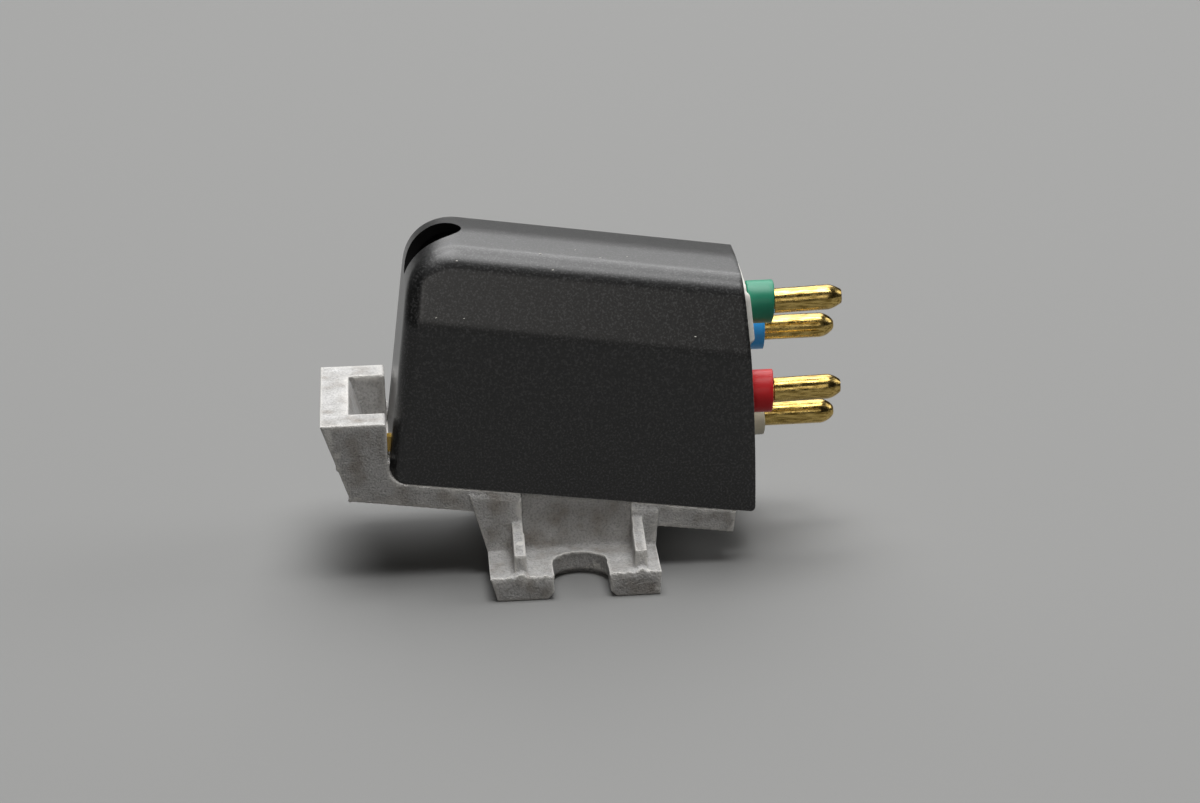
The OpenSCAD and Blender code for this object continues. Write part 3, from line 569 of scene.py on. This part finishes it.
points = points_of(casting)
x, y, z = points.T
lift = np.zeros(len(points))
for side, seed in ((-1, 3), (1, 11)):
    depth = np.clip((side * y - (FLANGE_Y - LIP_DEPTH)) / LIP_DEPTH, 0, 1)
    high = np.clip((z - FLANGE_TOP + 0.3) / 0.3, 0, 1)
    near = depth**2 * high * (z < FLANGE_TOP + 0.4)
    lift += near * (0.02 + 0.06 * ripple(x, seed) + 0.09 * ripple(x, seed + 5, 3, 0.22))
    points[:, 1] += near * side * -0.03 * (1 + ripple(x, seed + 1, 6, 0.2))
    inward = np.where(side * y < SLOT_Y, np.hypot(x, y - side * SLOT_Y), np.abs(x)) - SLOT_R
    turn = np.arctan2(x, SLOT_Y - side * y)
    lip = np.clip(1 - inward / SLOT_LIP, 0, 1) * high * (side * y > SLOT_Y - SLOT_R - 0.4)
    lift += lip * (0.01 + 0.05 * ripple(turn, seed + 7, 5, 0.3)) * (z < FLANGE_TOP + 0.1)
    push = lip * 0.05 * (1 + ripple(turn, seed + 9, 5, 0.35)) * (z < FLANGE_TOP + 0.1)
    points[:, 0] -= push * np.sin(turn)
    points[:, 1] += push * np.cos(turn) * side
points[:, 2] += lift

corner = points[:, [0, 2]] - np.array([NOSE_BACK - CORNER_R, NOSE_TOP - CORNER_R])
far = np.linalg.norm(corner, axis=1)
outside = (corner > 0).all(axis=1) & (far > CORNER_R) & (z > NOSE_TOP - 2 * CORNER_R)
points[outside, 0] -= (corner[:, 0] * (1 - CORNER_R / far))[outside]
points[outside, 2] -= (corner[:, 1] * (1 - CORNER_R / far))[outside]

# places and sizes of two small runs of metal under the front block
NUBS = ((-11.34, -4.5, 5.65, 0.09), (-10.80, -4.5, 4.05, 0.12))
for *place, size in NUBS:
    gap = np.linalg.norm(points - np.array(place), axis=1)
    bump = size * np.clip(1 - (gap / 0.2) ** 2, 0, 1) ** 2
    points[:, 0] -= bump
    points[:, 2] -= bump * 0.6

swell = ripple(x + 0.6 * z, 21, 6, 0.6) + ripple(y, 22, 6, 0.6)
points[:, 0] += 0.006 * swell
points[:, 2] += 0.006 * ripple(y + 0.5 * x, 23, 6, 0.6) * (z > 0.05)
points[:, 2] = np.maximum(points[:, 2], 0)
move_points(casting, points)
settle(casting, "mounting_frame", finish="cast_alloy")

# %% [markdown]
# ## Pins
#
# Each pin is turned from wire and gold-plated. A profile that is carried once round the axis is
# the natural way: the radius as a function of the distance from the tip. The tips are blunt, each
# one a little different, with a small flat where the wire was parted off. The two pins on the
# camera's side are bent up by a degree or two, so their height rises with the distance from the
# shoulder.

# %% Gold plating
gold = finish("gold_plate", (0.62, 0.43, 0.12), 0.22, metal=1.0)
dimple = noise_of(gold, 0.25, detail=3.0, rough=0.6)
marks = noise_of(gold, 0.08, detail=2.0, stretch=(0.12, 1.0, 1.0))
link_to(gold, ramp_of(gold, dimple, [(0.3, (0.16,) * 3), (0.7, (0.34,) * 3)]), "Roughness")
tones = [(0.35, (0.25, 0.165, 0.04)), (0.6, (0.66, 0.475, 0.16))]
link_to(gold, ramp_of(gold, marks, tones), "Base Color")
grain(gold, (dimple, 0.012, 0.5), (marks, 0.006, 0.6))
parted = finish("parted_end", (0.52, 0.33, 0.19), 0.42, metal=0.9)
grain(parted, (noise_of(parted, 0.08, detail=3.0), 0.01, 0.8))

# %% Pin surfaces
BOARD_PROUD = 0.18
BOARD_X = COVER_X + (LENGTH + BOARD_PROUD) * np.cos(TILT)
PIN_R, POST_R = 0.6, 0.4
POST_REACH = 2.2
POST_X = BOARD_X - POST_REACH
PIN_Y = 1.9
PLACES = {
    "green": (-PIN_Y, 5.27 + 2.58 + 4.45 - 0.03, BOARD_X + 1.06, BOARD_X + 4.31),
    "blue": (PIN_Y, 5.27 + 4.45, BOARD_X + 0.96, BOARD_X + 4.41),
    "red": (-PIN_Y, 5.27 + 2.58 - 0.08, BOARD_X + 1.01, BOARD_X + 4.25),
    "white": (PIN_Y, 5.27, BOARD_X + 0.92, BOARD_X + 4.40),
}

# rise for each millimetre behind the shoulder
BENDS = {"green": 0.032, "blue": 0.008, "red": 0.028, "white": 0.006}


def lathe(profile, y, z, wobble=None):
    """A profile of (x, r) rows turned round the axis at (y, z): the point at angle t is
    (x, y + r cos t, z + r sin t)."""
    t = np.linspace(0, 2 * np.pi, 64, endpoint=False)
    x = np.repeat(profile[:, :1], 64, axis=1)
    r = np.repeat(profile[:, 1:], 64, axis=1)
    if wobble is not None:
        x = x + wobble(profile, t)
    return np.stack([x, y + r * np.cos(t), z + r * np.sin(t)], axis=-1)


def pin_profile(flat, blunt, power, length, shoulder, tip):
    """Radius against x: the thin post, the shank, then a tip of that length. At the share s of
    the tip the radius is flat + (R - flat) * (1 - s ** blunt) ** power, down to a flat end."""
    s = np.sin(np.linspace(0, np.pi / 2, 26))
    r = flat + (PIN_R - flat) * (1 - s**blunt) ** power
    shank = np.linspace(shoulder + 0.02, tip - length, 30)
    tip_x = tip - length + length * s
    x = np.concatenate([[POST_X, shoulder, shoulder], shank, tip_x[1:-1], [tip - 0.02, tip]])
    start = [POST_R, POST_R, PIN_R - 0.02]
    end = [flat + 0.02, flat - 0.03]
    radius = np.concatenate([start, np.full(30, PIN_R), r[1:-1], end])
    return np.stack([x, radius], axis=-1)


TIPS = {
    "green": (0.33, 1.7, 1.0, 0.68),
    "blue": (0.17, 1.8, 0.75, 0.72),
    "red": (0.30, 1.8, 0.95, 0.66),
    "white": (0.18, 1.8, 0.72, 0.70),
}
for name, (y, z, shoulder, tip) in PLACES.items():
    rows = pin_profile(*TIPS[name], shoulder + SEAT_GAP, tip)
    grid = lathe(rows, y, z)
    grid[..., 2] += BENDS[name] * np.clip(grid[..., 0] - shoulder, 0, None)
    pin = Sheet().add(grid[:-1], True, 0, True)
    pin.add(grid[-2:], True, 1, False, True)
    pin = pin.build(f"pin_{name}_turned", merge=True, outward=True)
    pin.data.materials.append(gold)
    pin.data.materials.append(parted)
    settle(pin, f"pin_{name}", finish="gold")

# %% [markdown]
# ## Colour sleeves
#
# Short rings of soft plastic tubing that were cut by hand: the ends aren't quite square, and the
# cut leaves a small raised lip. The wobble of the ends is a slow wave in the angle.

# %% Plastics
plastics = {}
for name, colour in {
    "green": (0.015, 0.290, 0.165),
    "blue": (0.03, 0.38, 0.92),
    "red": (0.92, 0.018, 0.025),
    "white": (0.90, 0.85, 0.68),
}.items():
    plastic = finish(f"{name}_plastic", colour, 0.42)
    soft = noise_of(plastic, 0.35, detail=3.0)
    grain(plastic, (soft, 0.012, 0.5))
    plastics[name] = plastic

# %% Sleeve surfaces
SLEEVE_R = 1.03
BORE = POST_R + SEAT_GAP


def face_at(z):
    """Place along x of the rear face of the board at a height z, in two steps: first the height
    above the foot of the cover, then the bowed rim there."""
    v = (z - COVER_Z + LENGTH * np.sin(TILT)) / np.cos(TILT)
    v = (z - COVER_Z + (rim_at(v) + BOARD_PROUD) * np.sin(TILT)) / np.cos(TILT)
    return COVER_X + (rim_at(v) + BOARD_PROUD) * np.cos(TILT) + v * np.sin(TILT)


def sleeve_profile(x0, x1):
    """The ring's own outline, from the bore out over the free end and back at the board."""
    soft = 0.05
    return np.array(
        [
            [x0, BORE],
            [x0 + 0.3, BORE],
            [x1 - 0.02, BORE],
            [x1, BORE + 0.03],
            [x1, (BORE + SLEEVE_R) / 2],
            [x1, SLEEVE_R - soft],
            [x1 - 0.015, SLEEVE_R - 0.012],
            [x1 - soft, SLEEVE_R],
            [x1 - 0.3, SLEEVE_R],
            [x0 + 0.3, SLEEVE_R],
            [x0 + soft, SLEEVE_R],
            [x0 + 0.015, SLEEVE_R - 0.015],
            [x0, SLEEVE_R - soft],
            [x0, BORE],
        ]
    )



# how far a sleeve reaches into the board, so that no gap shows in front of the leaning face
SEATING = 0.10
# how far the free end is cut askew, and at which angle round the pin
CUTS = {"green": (0.16, 0.5), "blue": (0.06, 1.2), "red": (0.10, -0.6), "white": (0.08, 2.0)}
for name, (y, z, shoulder, tip) in PLACES.items():
    size, turn_at = CUTS[name]
    start = face_at(z + SLEEVE_R * np.array([-1.0, 0.0, 1.0])).max() - SEATING

    def wobble(profile, t, size=size, turn_at=turn_at, start=start, end=shoulder):
        """The free end leans by size and waves a little; the board end stays flat."""
        share = np.clip((profile[:, :1] - start) / (end - start), 0, 1)
        wave = size * (np.sin(t - turn_at) - 1) / 2 + 0.012 * np.sin(3 * t + 5 * turn_at)
        return share**2 * (wave - 0.012)

    ring = Sheet().add(lathe(sleeve_profile(start, shoulder), y, z, wobble), True)
    ring = ring.build(f"sleeve_{name}_cut", merge=True, outward=True, smooth_angle=50)
    ring.data.materials.append(plastics[name])
    settle(ring, f"sleeve_{name}", finish=f"{name}_plastic")

# %% [markdown]
# ## The board and small marks
#
# The moulded board shows as a narrow strip behind the rear rim. Its edges are soft, so it is
# meshed again as the casting was. Along its sides it stands a little prouder above the crease and
# a little deeper below it. Small flecks of dust and bare spots in the paint are flat lumps, half
# sunk into the cover.

# %% Board
STRIP_LOW, STRIP_HIGH, STRIP_PROUD = 8.1, 10.45, 0.12
STRIP_SIDE, STRIP_DEPTH = 2.6, 0.7
board_white = finish("board", (0.88, 0.86, 0.80), 0.55)
grain(board_white, (noise_of(board_white, 0.2, detail=3.0), 0.008, 0.5))
board = in_cells("terminal_board", "board_moulded", board_white, 0.06)
points = points_of(board)
u = (points[:, 0] - COVER_X) * np.cos(TILT) - (points[:, 2] - COVER_Z) * np.sin(TILT)
v = (points[:, 0] - COVER_X) * np.sin(TILT) + (points[:, 2] - COVER_Z) * np.cos(TILT)
rear = u > rim_at(v) - STRIP_DEPTH
outer_band = np.clip((np.abs(points[:, 1]) - STRIP_SIDE) / 0.3, 0, 1)
shown = np.clip((v - STRIP_LOW) / 0.2, 0, 1) * np.clip((STRIP_HIGH - v) / 0.15, 0, 1)
points[:, 0] += (2 * STRIP_PROUD * shown - STRIP_PROUD) * outer_band * rear
move_points(board, points)
settle(board, "terminal_board", finish="board")

# %% Flecks
dust = finish("dust", (0.80, 0.78, 0.72), 0.6)
grain(dust, (noise_of(dust, 0.03), 0.004, 0.5))
FLECKS = (
    (-1.27, -2.46, 15.258, 0.05),
    (-0.73, -3.31, 14.70, 0.045),
    (1.58, -2.20, 14.861, 0.04),
    (5.853, -4.216, 11.394, 0.04),
    (-5.225, -3.328, 15.349, 0.045),
    (-6.314, -4.312, 12.913, 0.035),
    (-5.004, -4.28, 12.815, 0.035),
    (2.884, -1.693, 14.703, 0.03),
    (0.44, -1.44, 15.084, 0.03),
)
t = np.linspace(0, 2 * np.pi, 12, endpoint=False)
polar = np.linspace(0.02, np.pi - 0.02, 7)[:, None]
flecks = Sheet()
for x, y, z, size in FLECKS:
    uneven = size * (1 + 0.25 * np.sin(2 * t + 9 * x))
    ball = np.stack(
        [
            x + uneven * np.sin(polar) * np.cos(t) * 1.3,
            y + 0.8 * uneven * np.sin(polar) * np.sin(t),
            z + 0.8 * size * np.cos(polar) + 0 * t,
        ],
        axis=-1,
    )
    flecks.add(ball, True, 0, True, True)
flecks = flecks.build("dust_flecks", outward=True)
flecks.data.materials.append(dust)
settle(flecks, finish="board")

# %% [markdown]
# ## Finishes of the inner pieces
#
# The generator hides under the cover, but the stylus opening and the gap below the rear rim show
# parts of it. These solids are kept as they are, and each gets the finish of its own material.

# %% Inner finishes
black_plastic = finish("black_plastic", (0.02, 0.02, 0.021), 0.5)
grain(black_plastic, (noise_of(black_plastic, 0.3), 0.006, 0.4))
magnet_skin = finish("magnet", (0.16, 0.16, 0.17), 0.45, metal=0.8)
grain(magnet_skin, (noise_of(magnet_skin, 0.15, detail=3.0), 0.01, 0.6))
soft_iron = finish("soft_iron", (0.30, 0.30, 0.31), 0.35, metal=1.0)
grain(soft_iron, (noise_of(soft_iron, 0.12, stretch=(1, 1, 6)), 0.004, 0.5))
copper = finish("copper", (0.72, 0.30, 0.14), 0.3, metal=1.0)
grain(copper, (noise_of(copper, 0.03, stretch=(1, 1, 1)), 0.004, 0.8))
rubber = finish("damper_rubber", (0.02, 0.02, 0.02), 0.75)
grain(rubber, (noise_of(rubber, 0.1), 0.006, 0.5))
steel_wire = finish("steel_wire", (0.62, 0.62, 0.64), 0.25, metal=1.0)
brass = finish("sleeve_brass", (0.68, 0.47, 0.17), 0.3, metal=1.0)
grain(brass, (noise_of(brass, 0.1, stretch=(1, 4, 4)), 0.003, 0.5))
dark_steel = finish("dark_steel", (0.12, 0.12, 0.13), 0.35, metal=1.0)
grain(dark_steel, (noise_of(dark_steel, 0.1), 0.003, 0.5))
alloy_tube = finish("alloy_tube", (0.60, 0.60, 0.62), 0.3, metal=1.0)
grain(alloy_tube, (noise_of(alloy_tube, 0.06, stretch=(1, 4, 4)), 0.003, 0.5))
grain(steel_wire, (noise_of(steel_wire, 0.03), 0.001, 0.5))
resin = finish("adhesive", (0.62, 0.40, 0.06), 0.15)
resin.node_tree.nodes["Principled BSDF"].inputs["Transmission Weight"].default_value = 0.4
grain(resin, (noise_of(resin, 0.3), 0.01, 0.5))

inner = {
    "generator_cradle": black_plastic,
    "magnet": magnet_skin,
    "front_pole": soft_iron,
    "rear_yoke": soft_iron,
    "rear_pole": soft_iron,
    "coil_former": soft_iron,
    "left_coil": copper,
    "right_coil": copper,
    "damper": rubber,
    "tie_wire": steel_wire,
    "suspension_sleeve": brass,
    "set_screw": dark_steel,
    "cantilever_stub": alloy_tube,
    "adhesive_bead": resin,
}
for name, colour in {
    "green": (0.02, 0.16, 0.06),
    "blue": (0.02, 0.06, 0.35),
    "red": (0.35, 0.01, 0.01),
    "white": (0.70, 0.66, 0.56),
}.items():
    coat = finish(f"{name}_lead", colour, 0.4)
    grain(coat, (noise_of(coat, 0.05), 0.002, 0.5))
    inner[f"lead_{name}"] = coat
for name, material in inner.items():
    nodes[name].data.materials.clear()
    nodes[name].data.materials.append(material)
print(len(inner), "solids keep their shape")

# %% [markdown]
# ## Floor, light and camera
#
# The part lies on a plain pale floor. A large soft lamp hangs above it and a second one stands
# behind it like a window, so that the top, the shoulders and the flanges shine while everything
# that faces the camera stays dark. A smaller one lights the rear end with its pins. A dim lamp on
# the camera's side stands a little above the level of the part, where the upper wall mirrors it
# and the lower wall doesn't. The floor is pale to the camera and in reflections, and throws less
# light up at the dark sides. The lamps are set to a level at which a colour renders about as it
# is written.

# %% Floor and backdrop
PALE, BOUNCE = (0.290, 0.290, 0.286), (0.05, 0.05, 0.05)
pale = finish("pale_floor", PALE, 0.85, specular=0.1)
tree = pale.node_tree
path = tree.nodes.new("ShaderNodeLightPath").outputs
seen = path["Is Camera Ray"]
for ray in ("Is Glossy Ray", "Is Transmission Ray"):
    total = tree.nodes.new("ShaderNodeMath")
    total.operation = "ADD"
    total.use_clamp = True
    tree.links.new(seen, total.inputs[0])
    tree.links.new(path[ray], total.inputs[1])
    seen = total.outputs[0]
link_to(pale, blend(pale, seen, BOUNCE, PALE), "Base Color")
s = np.linspace(-1.5, 1.5, 31)
run, across = np.meshgrid(s, s, indexing="ij")
lift = 600 * np.clip(run - 0.5, 0, None) ** 2
floor_grid = np.stack([across * 1000, run * 1000, lift], axis=-1)
floor = Sheet().add(floor_grid[:, ::-1]).build("floor", outward=False)
floor.data.materials.append(pale)


# %% Lamps
def soft_lamp(name, place, target, width, energy, colour=(1, 1, 1)):
    """A square lamp that points from its place to its target, in millimetres."""
    data = bpy.data.lights.new(name, "AREA")
    data.shape = "RECTANGLE"
    data.size, data.size_y = width[0] * MM, width[1] * MM
    data.energy = energy
    data.color = colour
    lamp = bpy.data.objects.new(name, data)
    bpy.context.scene.collection.objects.link(lamp)
    back = np.array(place, float) - np.array(target, float)
    back /= np.linalg.norm(back)
    side = np.cross([0.0, 0.0, 1.0], back)
    side /= np.linalg.norm(side)
    up = np.cross(back, side)
    turn = np.eye(4)
    turn[:3, 0], turn[:3, 1], turn[:3, 2] = side, up, back
    turn[:3, 3] = np.array(place) * MM
    lamp.matrix_world = Matrix(turn.tolist())
    return lamp


soft_lamp("above", (20, 15, 500), (0, 0, 6), (400, 240), 2.05)
soft_lamp("window", (20, 330, 400), (0, 0, 6), (400, 470), 1.8)
soft_lamp("rear_end", (430, 90, 250), (0, 0, 6), (260, 260), 0.45)
soft_lamp("room_side", (-26, -415, 185), (0, 0, 6), (190, 170), 0.20, (1.0, 0.97, 0.93))

world = bpy.data.worlds.new("room")
world.use_nodes = True
world.node_tree.nodes["Background"].inputs["Color"].default_value = (0.75, 0.77, 0.8, 1)
world.node_tree.nodes["Background"].inputs["Strength"].default_value = 0.02
bpy.context.scene.world = world
bpy.context.scene.view_settings.view_transform = "Standard"

# %% [markdown]
# The camera stands where the photographer stood: a long lens, a little above the part, with a
# slight roll. Its place follows from the point it looks at, the distance and the three angles.

# %% Camera
PITCH, YAW, ROLL = np.radians([19.0, 3.375, -1.463])
LOOK_AT = np.array([1.525, 0.0, 6.929])
DISTANCE = 174.94
ahead = np.array([np.sin(YAW) * np.cos(PITCH), np.cos(YAW) * np.cos(PITCH), -np.sin(PITCH)])
right = np.array([np.cos(YAW), -np.sin(YAW), 0.0])
above = np.cross(right, ahead)
right, above = (
    np.cos(ROLL) * right + np.sin(ROLL) * above,
    -np.sin(ROLL) * right + np.cos(ROLL) * above,
)
pose = np.eye(4)
pose[:3, 0], pose[:3, 1], pose[:3, 2] = right, above, -ahead
pose[:3, 3] = (LOOK_AT - DISTANCE * ahead) * MM
lens = bpy.data.cameras.new("camera")
lens.lens, lens.sensor_width, lens.clip_start, lens.clip_end = 108.0, 36.0, 0.01, 20.0
camera = bpy.data.objects.new("camera", lens)
camera.matrix_world = Matrix(pose.tolist())
bpy.context.scene.collection.objects.link(camera)
bpy.context.scene.camera = camera
